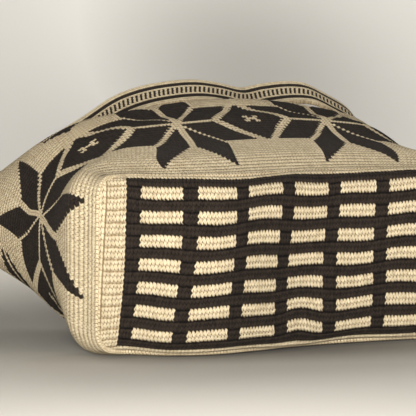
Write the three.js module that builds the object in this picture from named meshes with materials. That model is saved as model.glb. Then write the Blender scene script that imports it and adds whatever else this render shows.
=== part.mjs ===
// Crocheted tote bag, lying on its back with the base turned forward.
// X runs along the base, Y from the base to the mouth, Z up. Millimetres.
// The cloth is one soft wall; its shape is given by curves along the base,
// over the height of the base and from the base to the mouth.

import * as THREE from 'three';
import { ParametricGeometry } from 'three/addons/geometries/ParametricGeometry.js';

// Driving dimensions.
const BASE_LENGTH = 324; // along the middle row of the base, following the cloth
const BASE_HEIGHT = 158; // across the rows of the base, following the cloth
const BASE_CORNER = 30; // corner radius of the base outline
const BASE_LIFT = 4; // height of the lower edge of the base above the floor
const BAG_DEPTH = 275; // from the base edge to the mouth, following the cloth
const FULL_THICKNESS = 163; // thickest place of the lying bag, without its crown
const CROWN = 33; // how far the upper face swells above that thickness
const MOUTH_WIDTH = 413;
const MOUTH_GAP = 65; // outside height of the flattened mouth
const MOUTH_LIFT = 55; // height of the lower lip above the floor
const WALL = 3.5; // thickness of the crochet
const JOIN_RADIUS = 2.2; // yarn ridge between base and body
const CLEARANCE = 0.35; // gap between pieces that touch
const TAB_CLEARANCE = 0.75; // gap of the strap tabs to the curved gusset wall
const STRAP_WIDTH = 38;
const STRAP_THICKNESS = 4.5;
const STRAP_TAB = 30; // length sewn to the inside of each gusset
const STRAP_RISE = 103; // top of the strap above the middle of the mouth
const STRAP_TILT = 25; // degrees that the crossing band slopes up to the back
const YARN_RADIUS = 1.1; // sewing yarn
const SEAM_INSET = 5; // sewing line inside the edges of the strap tab

// The stitches around the body, shared by both long faces and both gussets.
const FACE_STITCHES = 110;
const GUSSET_STITCHES = 47;
const ROUND_STITCHES = 2 * (FACE_STITCHES + GUSSET_STITCHES);
const LEFT_GUSSET = ROUND_STITCHES - GUSSET_STITCHES / 2;
const RIGHT_GUSSET = FACE_STITCHES + GUSSET_STITCHES / 2;

// Facets.
const AROUND = 100;
const ALONG = 14;
const BASE_FACETS = [40, 18];
const JOIN_FACETS = [AROUND, 8];
const STRAP_FACETS = [72, 4];
const YARN_FACETS = [40, 6];

// Smooth curve through knots [place, value], with the slope of the neighbours.
function curve(knots, at) {
  const last = knots.length - 1;
  const place = Math.min(Math.max(at, knots[0][0]), knots[last][0]);
  let k = 0;
  while (k < last - 1 && place > knots[k + 1][0]) k += 1;
  const slope = (a, b) => (knots[b][1] - knots[a][1]) / (knots[b][0] - knots[a][0]);
  const span = knots[k + 1][0] - knots[k][0];
  const start = slope(Math.max(k - 1, 0), k + 1) * span;
  const end = slope(k, Math.min(k + 2, last)) * span;
  const u = (place - knots[k][0]) / span;
  const low = knots[k][1] * (1 + 2 * u) + start * u;
  const high = knots[k + 1][1] * (3 - 2 * u) + end * (u - 1);
  return low * (1 - u) ** 2 + high * u ** 2;
}

// The base seen from above, as shares of half its length: the front crest lies
// left of the middle and both ends turn back from it.
const PLAN_X = [[-1, -0.938], [-0.6, -0.602], [-0.38, -0.392], [0.14, 0.09], [0.46, 0.404], [1, 0.938]];
const PLAN_Y = [[-1, 0.253], [-0.78, 0.13], [-0.6, 0.034], [-0.38, 0.006], [-0.12, 0.093], [0.14, 0.198],
  [0.46, 0.278], [1, 0.352]];
// The base seen from the end, as shares of its height from the upper edge down:
// flat in the middle, rolled back at both edges.
const PROFILE_Y = [[0, 0.108], [0.06, 0.05], [0.12, 0.01], [0.18, 0], [0.5, 0.032], [0.82, 0.076],
  [0.88, 0.092], [0.94, 0.131], [1, 0.186]];
const PROFILE_Z = [[0, 0.861], [0.06, 0.852], [0.12, 0.812], [0.18, 0.753], [0.5, 0.43], [0.82, 0.116],
  [0.88, 0.062], [0.94, 0.021], [1, 0]];

const END_ROLL = 0.6; // share of that roll that is lost at the two ends of the base
const ROLL_END = 0.75; // place along the half length where the loss begins

// The body from base edge (0) to mouth (1).
const FULL_WIDTH = 1.06 * BASE_LENGTH;
const WIDTH = [[0, 0.944 * BASE_LENGTH], [0.05, 0.978 * BASE_LENGTH], [0.125, 1.04 * BASE_LENGTH],
  [0.47, FULL_WIDTH], [0.7, 0.65 * FULL_WIDTH + 0.35 * MOUTH_WIDTH], [1, MOUTH_WIDTH]];
const THICKNESS = [[0, 0.83 * FULL_THICKNESS], [0.125, 0.904 * FULL_THICKNESS], [0.31, 0.958 * FULL_THICKNESS],
  [0.47, FULL_THICKNESS], [0.7, 0.853 * FULL_THICKNESS], [1, MOUTH_GAP]];
const UNDERSIDE = [[0, BASE_LIFT], [0.04, 1], [0.08, 0], [0.3, 0], [0.53, 0], [0.75, 0.45 * MOUTH_LIFT],
  [1, MOUTH_LIFT]];
const CORNER = [[0, BASE_CORNER], [0.08, 0.2 * FULL_THICKNESS], [0.23, 0.38 * FULL_THICKNESS],
  [0.47, 0.47 * FULL_THICKNESS], [1, 0.47 * FULL_THICKNESS]];
const SWELL = [[0, 0], [0.09, 0.18 * CROWN], [0.23, 0.29 * CROWN], [0.44, 0.52 * CROWN], [0.7, CROWN],
  [1, 0.15 * CROWN]];
const PLAN_FADE = 0.5; // share of the base's plan curve that is gone at the mouth
const ADVANCE = 0.97; // depth gained by each length of cloth
const EDGE_FADE = 0.3; // share of the depth over which the base outline fades out
const FLAT_FROM = 0.09;
const FLAT_TO = 0.52;

function smoothstep(from, to, at) {
  return THREE.MathUtils.smoothstep(at, from, to);
}

// Base cloth at a flat place: along from its middle, down from its upper edge.
function basePoint(along, down) {
  const share = along / (BASE_LENGTH / 2);
  const drop = down / BASE_HEIGHT;
  const x = curve(PLAN_X, share) * BASE_LENGTH / 2;
  const roll = 1 - END_ROLL * smoothstep(ROLL_END, 1, Math.abs(share));
  const y = curve(PLAN_Y, share) * BASE_LENGTH / 2 + curve(PROFILE_Y, drop) * BASE_HEIGHT * roll;
  return new THREE.Vector3(x, y, BASE_LIFT + curve(PROFILE_Z, drop) * BASE_HEIGHT);
}

function normalOf(surface, a, b, step) {
  const across = surface(a + step, b).sub(surface(a - step, b));
  const down = surface(a, b + step).sub(surface(a, b - step));
  return across.cross(down).normalize();
}

// A place of a rectangle moved so that the rectangle's corners become round.
function roundCorner(along, up, halfLength, halfHeight, radius) {
  const dx = Math.abs(along) - (halfLength - radius);
  const dz = Math.abs(up) - (halfHeight - radius);
  if (dx <= 0 || dz <= 0) return [along, up];
  const pull = Math.max(dx, dz) / Math.hypot(dx, dz);
  const x = halfLength - radius + dx * pull;
  const z = halfHeight - radius + dz * pull;
  return [Math.sign(along) * x, Math.sign(up) * z];
}

function baseAt(along, up, inset) {
  const halfLength = BASE_LENGTH / 2 - inset;
  const halfHeight = BASE_HEIGHT / 2 - inset;
  const [a, u] = roundCorner(along * halfLength, up * halfHeight, halfLength, halfHeight, BASE_CORNER);
  return [a, BASE_HEIGHT / 2 - u];
}

// Flat place on the edge of the base that a stitch of the body grows from.
function edgeAt(stitch) {
  const s = THREE.MathUtils.euclideanModulo(stitch, ROUND_STITCHES);
  const face = FACE_STITCHES;
  const half = face + GUSSET_STITCHES;
  if (s < face) return baseAt(2 * s / face - 1, 1, 0);
  if (s < half) return baseAt(1, 1 - 2 * (s - face) / GUSSET_STITCHES, 0);
  if (s < half + face) return baseAt(1 - 2 * (s - half) / face, -1, 0);
  return baseAt(-1, 2 * (s - half - face) / GUSSET_STITCHES - 1, 0);
}

// Outline of a section of the body: a rounded rectangle, followed clockwise
// from the middle of its upper side. Gives x, z and how far it faces up.
function outline(turn, width, thickness, radius) {
  const flat = width / 2 - radius;
  const side = thickness - 2 * radius;
  const arc = Math.PI * radius / 2;
  const girth = 4 * flat + 2 * side + 4 * arc;
  const way = THREE.MathUtils.euclideanModulo(turn, 1) * girth;
  const right = way <= girth / 2;
  const run = right ? way : girth - way;
  const hand = right ? 1 : -1;
  const rise = side / 2;
  if (run <= flat) return [hand * run, thickness / 2, 1];
  if (run <= flat + arc) {
    const t = (run - flat) / radius;
    return [hand * (flat + radius * Math.sin(t)), rise + radius * Math.cos(t), Math.cos(t)];
  }
  if (run <= flat + arc + side) return [hand * width / 2, rise - (run - flat - arc), 0];
  if (run <= flat + 2 * arc + side) {
    const t = (run - flat - arc - side) / radius;
    return [hand * (flat + radius * Math.cos(t)), -rise - radius * Math.sin(t), -Math.sin(t)];
  }
  return [hand * (girth / 2 - run), -thickness / 2, -1];
}

function sectionPoint(stitch, depth) {
  const width = curve(WIDTH, depth);
  const thickness = curve(THICKNESS, depth);
  const radius = Math.min(curve(CORNER, depth), thickness / 2 - 0.01);
  const turn = (stitch - FACE_STITCHES / 2) / ROUND_STITCHES;
  const [x, z, up] = outline(turn, width, thickness, radius);
  const share = THREE.MathUtils.clamp(x / (0.938 * BASE_LENGTH / 2), -1, 1);
  const plan = curve(PLAN_Y, share) * BASE_LENGTH / 2 * (1 - PLAN_FADE * depth);
  const y = PROFILE_Y[0][1] * BASE_HEIGHT + plan + depth * BAG_DEPTH * ADVANCE;
  const dome = Math.cos(Math.PI * x / width);
  const swell = curve(SWELL, depth) * Math.max(up, 0) * dome;
  const flat = depth > FLAT_FROM && depth < FLAT_TO;
  const floor = flat ? 0 : Math.max(curve(UNDERSIDE, depth), 0);
  return new THREE.Vector3(x, y, z + thickness / 2 + floor + swell);
}

// Outside of the body at a stitch of the round and a share of the depth.
// Past the mouth it runs straight on.
function bodyPoint(stitch, depth) {
  if (depth > 1) {
    const lip = bodyPoint(stitch, 1);
    return lip.add(new THREE.Vector3(0, (depth - 1) * BAG_DEPTH, 0));
  }
  const point = sectionPoint(stitch, depth);
  const pull = 1 - smoothstep(0, EDGE_FADE, depth);
  if (pull > 0) {
    const edge = basePoint(...edgeAt(stitch)).sub(sectionPoint(stitch, 0));
    point.addScaledVector(edge, pull);
  }
  return point;
}

function bodyNormal(stitch, depth) {
  const step = 0.002;
  const around = bodyPoint(stitch + 0.5, depth).sub(bodyPoint(stitch - 0.5, depth));
  const back = Math.max(depth - step, 0);
  const along = bodyPoint(stitch, back + 2 * step).sub(bodyPoint(stitch, back));
  return around.cross(along).normalize();
}

function material(color, roughness) {
  return new THREE.MeshStandardMaterial({ color, roughness, metalness: 0 });
}

function named(name, geometry, finish) {
  const mesh = new THREE.Mesh(geometry, finish);
  mesh.name = name;
  return mesh;
}

// Box whose points are moved by a function of their place from -1 to 1.
function warpedBox(lengthFacets, widthFacets, place) {
  const box = new THREE.BoxGeometry(2, 2, 2, lengthFacets, widthFacets, 1);
  const points = box.attributes.position;
  for (let k = 0; k < points.count; k += 1) {
    const p = place(points.getX(k), points.getY(k), points.getZ(k));
    points.setXYZ(k, p.x, p.y, p.z);
  }
  box.computeVertexNormals();
  return box;
}

// Base panel: one flat-worked rectangle with round corners.
const EDGE_GAP = JOIN_RADIUS + 2.5 * CLEARANCE;

function panelPoint(along, up, face) {
  const [a, down] = baseAt(along, up, EDGE_GAP);
  const point = basePoint(a, down);
  const inward = normalOf(basePoint, a, down, 1);
  return point.addScaledVector(inward, face > 0 ? 0 : WALL);
}

// Body: an open tube, outside wall from the base edge to the mouth, over the
// rim and back inside.
const BODY_START = (EDGE_GAP + CLEARANCE) / BAG_DEPTH;
const RIM = 2;
const LOOP = 2 * (ALONG + RIM);

function wallPoint(u, v, target) {
  const stitch = u * ROUND_STITCHES;
  const step = Math.round(v * LOOP) % LOOP;
  const inside = step > ALONG;
  const row = inside ? Math.max(2 * ALONG + RIM - step, 0) : step;
  const share = Math.min(row, ALONG) / ALONG;
  const depth = BODY_START + (1 - BODY_START) * share;
  let inset = inside ? WALL : 0;
  if (step === ALONG + 1) inset = WALL / 2;
  if (step === LOOP - 1) inset = WALL / 2;
  const point = bodyPoint(stitch, depth).addScaledVector(bodyNormal(stitch, depth), -inset);
  const roll = step === ALONG + 1 ? WALL / 3 : 0;
  target.copy(point).add(new THREE.Vector3(0, roll, 0));
}

// Joining round: the ridge of yarn that the base and the body share.
function joinFrame(stitch) {
  const place = (s) => basePoint(...edgeAt(s));
  const tangent = place(stitch + 0.4).sub(place(stitch - 0.4)).normalize();
  const [along, down] = edgeAt(stitch);
  const inward = normalOf(basePoint, along, down, 1).sub(bodyNormal(stitch, 0)).normalize();
  const side = tangent.clone().cross(inward).normalize();
  return { centre: place(stitch), inward, side };
}

function joinPoint(u, v, target) {
  const { centre, inward, side } = joinFrame(u * ROUND_STITCHES);
  const angle = -v * 2 * Math.PI;
  target.copy(centre).addScaledVector(inward, JOIN_RADIUS * Math.cos(angle) + 0.2 * JOIN_RADIUS);
  target.addScaledVector(side, JOIN_RADIUS * Math.sin(angle));
}

// Strap: one band, sewn inside both gussets and arched over the mouth.
// Places are shares of the half mouth width and of the strap's rise, with the
// distance in front of the mouth between them in millimetres.
const mouthMiddle = MOUTH_LIFT + MOUTH_GAP / 2;
const ROUTE = [[-0.955, 12, 0.06], [-0.9, 20, 0.16], [-0.77, 24, 0.33], [-0.6, 22, 0.53], [-0.44, 17, 0.725],
  [-0.3, 12, 0.91], [-0.2, 10, 0.985], [-0.08, 9, 1.03], [0.04, 8, 1.045], [0.14, 8, 1.02], [0.25, 8, 0.975],
  [0.34, 8, 1.005], [0.45, 8, 1.025], [0.53, 8, 1.01], [0.62, 10, 0.93], [0.72, 13, 0.82], [0.8, 17, 0.66],
  [0.88, 22, 0.36], [0.955, 14, 0.08]];

function tabCentre(stitch) {
  const inset = WALL + TAB_CLEARANCE + STRAP_THICKNESS / 2;
  return bodyPoint(stitch, 1).addScaledVector(bodyNormal(stitch, 1), -inset);
}

const leftFoot = tabCentre(LEFT_GUSSET);
const rightFoot = tabCentre(RIGHT_GUSSET);
const routePoints = ROUTE.map(([x, y, z]) => {
  const mouthY = THREE.MathUtils.mapLinear(x, -1, 1, leftFoot.y, rightFoot.y);
  return new THREE.Vector3(x * MOUTH_WIDTH / 2, mouthY + y, mouthMiddle + z * STRAP_RISE);
});
const strapRoute = new THREE.CatmullRomCurve3([leftFoot, ...routePoints, rightFoot], false, 'centripetal');
const FREE_LENGTH = strapRoute.getLength();
const STRAP_LENGTH = FREE_LENGTH + 2 * STRAP_TAB;
const TWIST_LENGTH = 110; // of each leg, over which the band turns to lie across
const HANDOVER = 45; // of each leg, over which the band's hollow shape goes flat

function freeBand(run, across, lift) {
  const share = THREE.MathUtils.clamp(run / FREE_LENGTH, 0, 1);
  const point = strapRoute.getPointAt(share);
  const tangent = strapRoute.getTangentAt(share);
  const nearest = Math.min(run, FREE_LENGTH - run);
  const tilt = THREE.MathUtils.lerp(-90, STRAP_TILT, smoothstep(0, TWIST_LENGTH, nearest));
  const angle = THREE.MathUtils.degToRad(tilt);
  const wide = new THREE.Vector3(0, Math.cos(angle), Math.sin(angle));
  wide.addScaledVector(tangent, -wide.dot(tangent)).normalize();
  const outward = tangent.clone().cross(wide);
  return point.addScaledVector(wide, across).addScaledVector(outward, lift);
}

// Band following the inside of a gusset; run counts from the mouth outward.
function tabBand(gusset, hand, run, across, lift) {
  const stitchLength = BASE_LENGTH / FACE_STITCHES;
  const stitch = gusset + hand * across / stitchLength;
  const inset = WALL + TAB_CLEARANCE + STRAP_THICKNESS / 2 - lift;
  const depth = 1 + run / BAG_DEPTH;
  const point = bodyPoint(stitch, depth);
  return point.addScaledVector(bodyNormal(stitch, Math.min(depth, 1)), -inset);
}

function strapPoint(share, across, lift) {
  const run = share * STRAP_LENGTH - STRAP_TAB;
  const left = run < FREE_LENGTH / 2;
  const fromMouth = left ? run : FREE_LENGTH - run;
  const free = freeBand(run, across, lift);
  if (fromMouth > HANDOVER) return free;
  const tab = left ? tabBand(LEFT_GUSSET, -1, fromMouth, across, lift)
    : tabBand(RIGHT_GUSSET, 1, fromMouth, across, lift);
  return tab.lerp(free, smoothstep(0, HANDOVER, fromMouth));
}

function bandPoint(along, across, face) {
  const share = (along + 1) / 2;
  return strapPoint(share, across * STRAP_WIDTH / 2, face * STRAP_THICKNESS / 2);
}

// Sewing yarn: a row of stitches down one edge of a strap tab, across its end
// and up the other edge, lying on the tab's inner face.
function seamGeometry(atLeft) {
  const half = STRAP_WIDTH / 2 - SEAM_INSET;
  const deep = STRAP_TAB - SEAM_INSET;
  const lift = -STRAP_THICKNESS / 2 - TAB_CLEARANCE - YARN_RADIUS;
  const corners = [[-half, 2], [-half, deep - half / 2], [-half / 2, deep], [half / 2, deep],
    [half, deep - half / 2], [half, 2]];
  const points = [];
  for (let k = 0; k + 1 < corners.length; k += 1) {
    for (let part = 0; part < 3; part += 1) {
      const across = THREE.MathUtils.lerp(corners[k][0], corners[k + 1][0], part / 3);
      const inside = THREE.MathUtils.lerp(corners[k][1], corners[k + 1][1], part / 3);
      points.push([across, inside]);
    }
  }
  points.push(corners[corners.length - 1]);
  const path = points.map(([across, inside]) => {
    const run = STRAP_TAB - inside;
    const share = atLeft ? run / STRAP_LENGTH : 1 - run / STRAP_LENGTH;
    return strapPoint(share, across, lift);
  });
  const section = new THREE.Shape().absarc(0, 0, YARN_RADIUS, 0, 2 * Math.PI, false);
  return new THREE.ExtrudeGeometry(section, {
    steps: YARN_FACETS[0],
    curveSegments: YARN_FACETS[1],
    extrudePath: new THREE.CatmullRomCurve3(path),
  });
}

const cream = material(0xdcc9a3, 0.9);
const creamDark = material(0xcdb891, 0.92);
const brown = material(0x2b231d, 0.92);

const bag = new THREE.Group();
bag.add(named('base_panel', warpedBox(...BASE_FACETS, panelPoint), brown));
bag.add(named('joining_round', new ParametricGeometry(joinPoint, ...JOIN_FACETS), cream));
bag.add(named('body', new ParametricGeometry(wallPoint, AROUND, LOOP), cream));
bag.add(named('strap', warpedBox(...STRAP_FACETS, bandPoint), creamDark));
bag.add(named('sewing_yarn_left', seamGeometry(true), cream));
bag.add(named('sewing_yarn_right', seamGeometry(false), cream));

// The origin lies in the middle of the flat underside.
const REST_DEPTH = 0.3;
bag.position.y = -bodyPoint(FACE_STITCHES * 1.5 + GUSSET_STITCHES, REST_DEPTH).y;

export default bag;
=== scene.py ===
import math

import bmesh
import bpy
import numpy as np
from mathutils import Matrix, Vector


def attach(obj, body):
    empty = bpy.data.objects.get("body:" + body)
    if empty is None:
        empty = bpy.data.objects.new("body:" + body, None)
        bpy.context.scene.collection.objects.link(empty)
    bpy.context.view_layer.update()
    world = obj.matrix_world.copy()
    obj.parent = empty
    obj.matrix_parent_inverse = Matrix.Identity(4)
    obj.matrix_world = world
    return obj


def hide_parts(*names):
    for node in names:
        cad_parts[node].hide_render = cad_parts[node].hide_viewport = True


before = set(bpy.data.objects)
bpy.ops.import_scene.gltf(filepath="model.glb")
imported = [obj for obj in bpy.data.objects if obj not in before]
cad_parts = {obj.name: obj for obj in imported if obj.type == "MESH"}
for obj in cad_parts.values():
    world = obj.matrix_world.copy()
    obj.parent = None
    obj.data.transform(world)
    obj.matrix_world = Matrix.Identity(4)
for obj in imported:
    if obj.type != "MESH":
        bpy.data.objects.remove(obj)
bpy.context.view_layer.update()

# Base panel.
# The real base is a rectangle of cotton crochet worked flat, to and fro, so that its rows pair up
# into ribs: dark brown with seven rows of short cream bars, inside a cream border.
MM = 0.001
BASE_STITCHES = 110
BASE_ROWS = 34
BASE_LENGTH = 324.0
BASE_HEIGHT = 158.0
BASE_CORNER = 30.0
BASE_LIFT = 4.0
WALL = 3.5
REST_Y = 116.75  # from the front of the base to the origin in the underside

# The cloth bulges forward in plan, and rolls over at its upper and lower edge and at its ends.
PLAN_X = [(-1, -0.938), (-0.6, -0.602), (-0.38, -0.392), (0.14, 0.09), (0.46, 0.404), (1, 0.938)]
PLAN_Y = [(-1, 0.253), (-0.78, 0.13), (-0.6, 0.034), (-0.38, 0.006), (-0.12, 0.093), (0.14, 0.198),
          (0.46, 0.278), (1, 0.352)]
PROFILE_Y = [(0, 0.108), (0.06, 0.05), (0.12, 0.01), (0.18, 0), (0.5, 0.032), (0.82, 0.076),
             (0.88, 0.092), (0.94, 0.131), (1, 0.186)]
PROFILE_Z = [(0, 0.861), (0.06, 0.852), (0.12, 0.812), (0.18, 0.753), (0.5, 0.43), (0.82, 0.116),
             (0.88, 0.062), (0.94, 0.021), (1, 0)]
END_ROLL = 0.6
ROLL_START = 0.75


def smooth(low, high, value):
    """Soft step from 0 at low to 1 at high."""
    share = np.clip((value - low) / (high - low), 0, 1)
    return share * share * (3 - 2 * share)


def curve(knots, at):
    """Smooth curve through knots, with the slope of the neighbours."""
    place, value = np.array(knots, float).T
    at = np.clip(at, place[0], place[-1])
    last = len(place) - 1
    k = np.clip(np.searchsorted(place, at, side="left") - 1, 0, last - 1)
    before = np.maximum(k - 1, 0)
    after = np.minimum(k + 2, last)
    span = place[k + 1] - place[k]
    start = (value[k + 1] - value[before]) / (place[k + 1] - place[before]) * span
    end = (value[after] - value[k]) / (place[after] - place[k]) * span
    u = (at - place[k]) / span
    low = value[k] * (1 + 2 * u) + start * u
    high = value[k + 1] * (3 - 2 * u) + end * (u - 1)
    return low * (1 - u) ** 2 + high * u ** 2


def unit(vectors):
    return vectors / np.linalg.norm(vectors, axis=-1, keepdims=True)


def base_cloth(along, down):
    """Place of the base cloth, from flat millimetres along its length and down its height."""
    share = along / (BASE_LENGTH / 2)
    drop = down / BASE_HEIGHT
    roll = 1 - END_ROLL * smooth(ROLL_START, 1, np.abs(share))
    x = curve(PLAN_X, share) * BASE_LENGTH / 2
    y = curve(PLAN_Y, share) * BASE_LENGTH / 2 + curve(PROFILE_Y, drop) * BASE_HEIGHT * roll - REST_Y
    z = BASE_LIFT + curve(PROFILE_Z, drop) * BASE_HEIGHT
    return np.stack([x, y, z], -1)


def base_inward(along, down, step=1.0):
    """Unit normal of the base cloth, pointing into the bag."""
    across = base_cloth(along + step, down) - base_cloth(along - step, down)
    onward = base_cloth(along, down + step) - base_cloth(along, down - step)
    return unit(np.cross(across, onward))


def round_corner(along, up, half_length, half_height):
    """Moves the places of a rectangle so that its corners are round."""
    dx = np.abs(along) - (half_length - BASE_CORNER)
    dz = np.abs(up) - (half_height - BASE_CORNER)
    inside = (dx <= 0) | (dz <= 0)
    reach = np.where(inside, 1.0, np.hypot(dx, dz))
    pull = np.where(inside, 1.0, np.maximum(dx, dz) / np.maximum(reach, 1e-9))
    x = np.where(inside, np.abs(along), half_length - BASE_CORNER + dx * pull)
    z = np.where(inside, np.abs(up), half_height - BASE_CORNER + dz * pull)
    return np.sign(along) * x, np.sign(up) * z


def cloth_sheet(name, columns, rows, stitches, courses):
    """Flat grid in stitch units with a matching UV map, as a new object in the scene."""
    work = bmesh.new()
    bmesh.ops.create_grid(work, x_segments=columns, y_segments=rows, size=1)
    layer = work.loops.layers.uv.new("stitches")
    for vertex in work.verts:
        vertex.co.x = (vertex.co.x + 1) / 2 * stitches
        vertex.co.y = (vertex.co.y + 1) / 2 * courses
    for face in work.faces:
        for loop in face.loops:
            loop[layer].uv = loop.vert.co.xy
        face.smooth = True
    mesh = bpy.data.meshes.new(name)
    work.to_mesh(mesh)
    work.free()
    piece = bpy.data.objects.new(name, mesh)
    bpy.context.collection.objects.link(piece)
    return piece


def places(piece):
    """Places of a piece's vertices, one row each."""
    flat = np.empty(len(piece.data.vertices) * 3)
    piece.data.vertices.foreach_get("co", flat)
    return flat.reshape(-1, 3)


def set_places(piece, points):
    """Moves a piece's vertices to points given in millimetres."""
    piece.data.vertices.foreach_set("co", np.ascontiguousarray(points * MM).ravel())
    piece.data.update()


def set_stitches(piece, column, course):
    """Writes the stitch coordinates of each vertex to the UV map."""
    corner_vertex = np.empty(len(piece.data.loops), int)
    piece.data.loops.foreach_get("vertex_index", corner_vertex)
    spots = np.stack([column[corner_vertex], course[corner_vertex]], -1)
    piece.data.uv_layers["stitches"].data.foreach_set("uv", np.ascontiguousarray(spots).ravel())


V_SKEW = 0.46  # how far the middle of a stitch stands above its two sides, in courses


def stitch_relief(column, course):
    """Heights from 0 to 1 across the two legs of each stitch, and up its course."""
    across = column % 1
    skewed = course + V_SKEW * (1 - np.abs(2 * across - 1))
    legs = np.abs(np.sin(2 * np.pi * across))
    row = np.abs(np.sin(np.pi * skewed))
    return legs, row


# Each stitch of the flat grid gets its place in the cloth; the round corners clip the rows.
BASE_QUADS = (4, 3)
EDGE_TUCK = 1.4
SIDE_LEAN = 2.4
LEAN_REACH = (40, 75)
base = cloth_sheet("base_panel_cloth", BASE_STITCHES * BASE_QUADS[0], BASE_ROWS * BASE_QUADS[1],
                   BASE_STITCHES, BASE_ROWS)
flat = places(base)
half_length = BASE_LENGTH / 2 - EDGE_TUCK
half_height = BASE_HEIGHT / 2 - EDGE_TUCK
along, up = round_corner((2 * flat[:, 0] / BASE_STITCHES - 1) * half_length,
                         (1 - 2 * flat[:, 1] / BASE_ROWS) * half_height, half_length, half_height)
down = BASE_HEIGHT / 2 - up
course = (1 - up / half_height) / 2 * BASE_ROWS
column = (1 + along / half_length) / 2 * BASE_STITCHES
column = column + SIDE_LEAN * course / BASE_ROWS * (1 - smooth(*LEAN_REACH, column))

# Hand work is uneven: the rows sway a little, and pucker at one place near the lower edge.
FIELD_ROWS = (0, 3)
FIELD_COLUMNS = (2, 9)
LONG_SWAY = (0.22, 7.3, 1.1)
SHORT_SWAY = (0.16, 3.9, 5.0)
SIDE_SWAY = (0.35, 4.3, 17.0)
PUCKER = (60, 28)
PUCKER_REACH = (8, 5)
PUCKER_DEPTH = 0.7
PUCKER_WAVE = 4
row_end = np.minimum(course, BASE_ROWS - course)
column_end = np.minimum(column, BASE_STITCHES - column)
in_field = smooth(*FIELD_ROWS, row_end) * smooth(*FIELD_COLUMNS, column_end)
pucker_x = (column - PUCKER[0]) / PUCKER_REACH[0]
pucker_y = (course - PUCKER[1]) / PUCKER_REACH[1]
pucker = PUCKER_DEPTH * np.exp(-pucker_x ** 2 - pucker_y ** 2)
sway = LONG_SWAY[0] * np.sin(column / LONG_SWAY[1] + LONG_SWAY[2])
sway += SHORT_SWAY[0] * np.sin(column / SHORT_SWAY[1] + course / SHORT_SWAY[2])
sway += pucker * np.sin((column - PUCKER[0] + PUCKER_WAVE) / PUCKER_WAVE)
course = course + in_field * sway
column = column + in_field * SIDE_SWAY[0] * np.sin(course / SIDE_SWAY[1] + column / SIDE_SWAY[2])
set_stitches(base, column, course)

# The ribs and legs stand out of the cloth, the end columns form a flat edge, and the cloth is slack.
RIB_ROWS = 2
RIB_RELIEF = 1.3
RIB_ROUNDNESS = 0.5
LEG_RELIEF = 0.6
EDGE_COLUMNS = 2.2
EDGE_BLEND = (0.5, 0.3)
EDGE_GROOVE = 0.8
EDGE_GROOVE_WIDTH = 0.35
SLACK = (0.9, 0.6)
SHORT_WAVE = (17, 21)
LONG_WAVE = (41, 33)
WAVE_START = (0.8, 0.4)
CLOTH_PROUD = 0.6
legs, row = stitch_relief(column, course)
rib = np.abs(np.sin(np.pi * course / RIB_ROWS)) ** RIB_ROUNDNESS
from_end = np.minimum(column, BASE_STITCHES - column)
rib = 1 - (1 - rib) * smooth(EDGE_COLUMNS - EDGE_BLEND[0], EDGE_COLUMNS + EDGE_BLEND[1], from_end)
rib -= EDGE_GROOVE * np.exp(-((from_end - EDGE_COLUMNS) / EDGE_GROOVE_WIDTH) ** 2)
waves = np.sin(along / SHORT_WAVE[0] + WAVE_START[0]) * np.sin(down / SHORT_WAVE[1] + WAVE_START[1])
slack = SLACK[0] * waves + SLACK[1] * np.sin(along / LONG_WAVE[0] - down / LONG_WAVE[1])
relief = RIB_RELIEF * (rib - 1) + LEG_RELIEF * (legs * row ** RIB_ROUNDNESS - 1)
proud = relief + slack + CLOTH_PROUD
set_places(base, base_cloth(along, down) - base_inward(along, down) * proud[:, None])
wall = base.modifiers.new("crochet thickness", "SOLIDIFY")
wall.thickness = WALL * MM
wall.offset = 1.0


def feed(tree, socket, value):
    """Links an input to another socket, or sets it to a plain value."""
    if hasattr(value, "is_linked"):
        tree.links.new(value, socket)
    else:
        socket.default_value = value


def calc(tree, operation, first, second=0.0, third=0.0):
    """Math node; its inputs are sockets or numbers."""
    node = tree.nodes.new("ShaderNodeMath")
    node.operation = operation
    for socket, value in zip(node.inputs, (first, second, third)):
        feed(tree, socket, value)
    return node.outputs[0]


def both(tree, *masks):
    """Product of several masks."""
    result = masks[0]
    for mask in masks[1:]:
        result = calc(tree, "MULTIPLY", result, mask)
    return result


def without(tree, mask):
    """The rest of the surface, outside a mask."""
    return calc(tree, "SUBTRACT", 1.0, mask)


def within(tree, count, low, high):
    """Mask of the whole numbers from low up to, but not with, high."""
    above = calc(tree, "GREATER_THAN", count, low - 0.5)
    below = calc(tree, "LESS_THAN", count, high - 0.5)
    return both(tree, above, below)


def mix_colours(tree, amount, first, second):
    node = tree.nodes.new("ShaderNodeMix")
    node.data_type = "RGBA"
    feed(tree, node.inputs[0], amount)
    feed(tree, node.inputs[6], first)
    feed(tree, node.inputs[7], second)
    return node.outputs[2]


def noise(tree, place, scale, detail):
    node = tree.nodes.new("ShaderNodeTexNoise")
    node.inputs["Scale"].default_value = scale
    node.inputs["Detail"].default_value = detail
    tree.links.new(place, node.inputs["Vector"])
    return node


def new_group(name, inputs, outputs):
    """Shader node group with its inner input and output nodes."""
    group = bpy.data.node_groups.new(name, "ShaderNodeTree")
    for socket, kind in inputs.items():
        group.interface.new_socket(name=socket, in_out="INPUT", socket_type=kind)
    for socket in outputs:
        group.interface.new_socket(name=socket, in_out="OUTPUT", socket_type="NodeSocketFloat")
    return group, group.nodes.new("NodeGroupInput").outputs, group.nodes.new("NodeGroupOutput").inputs


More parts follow.
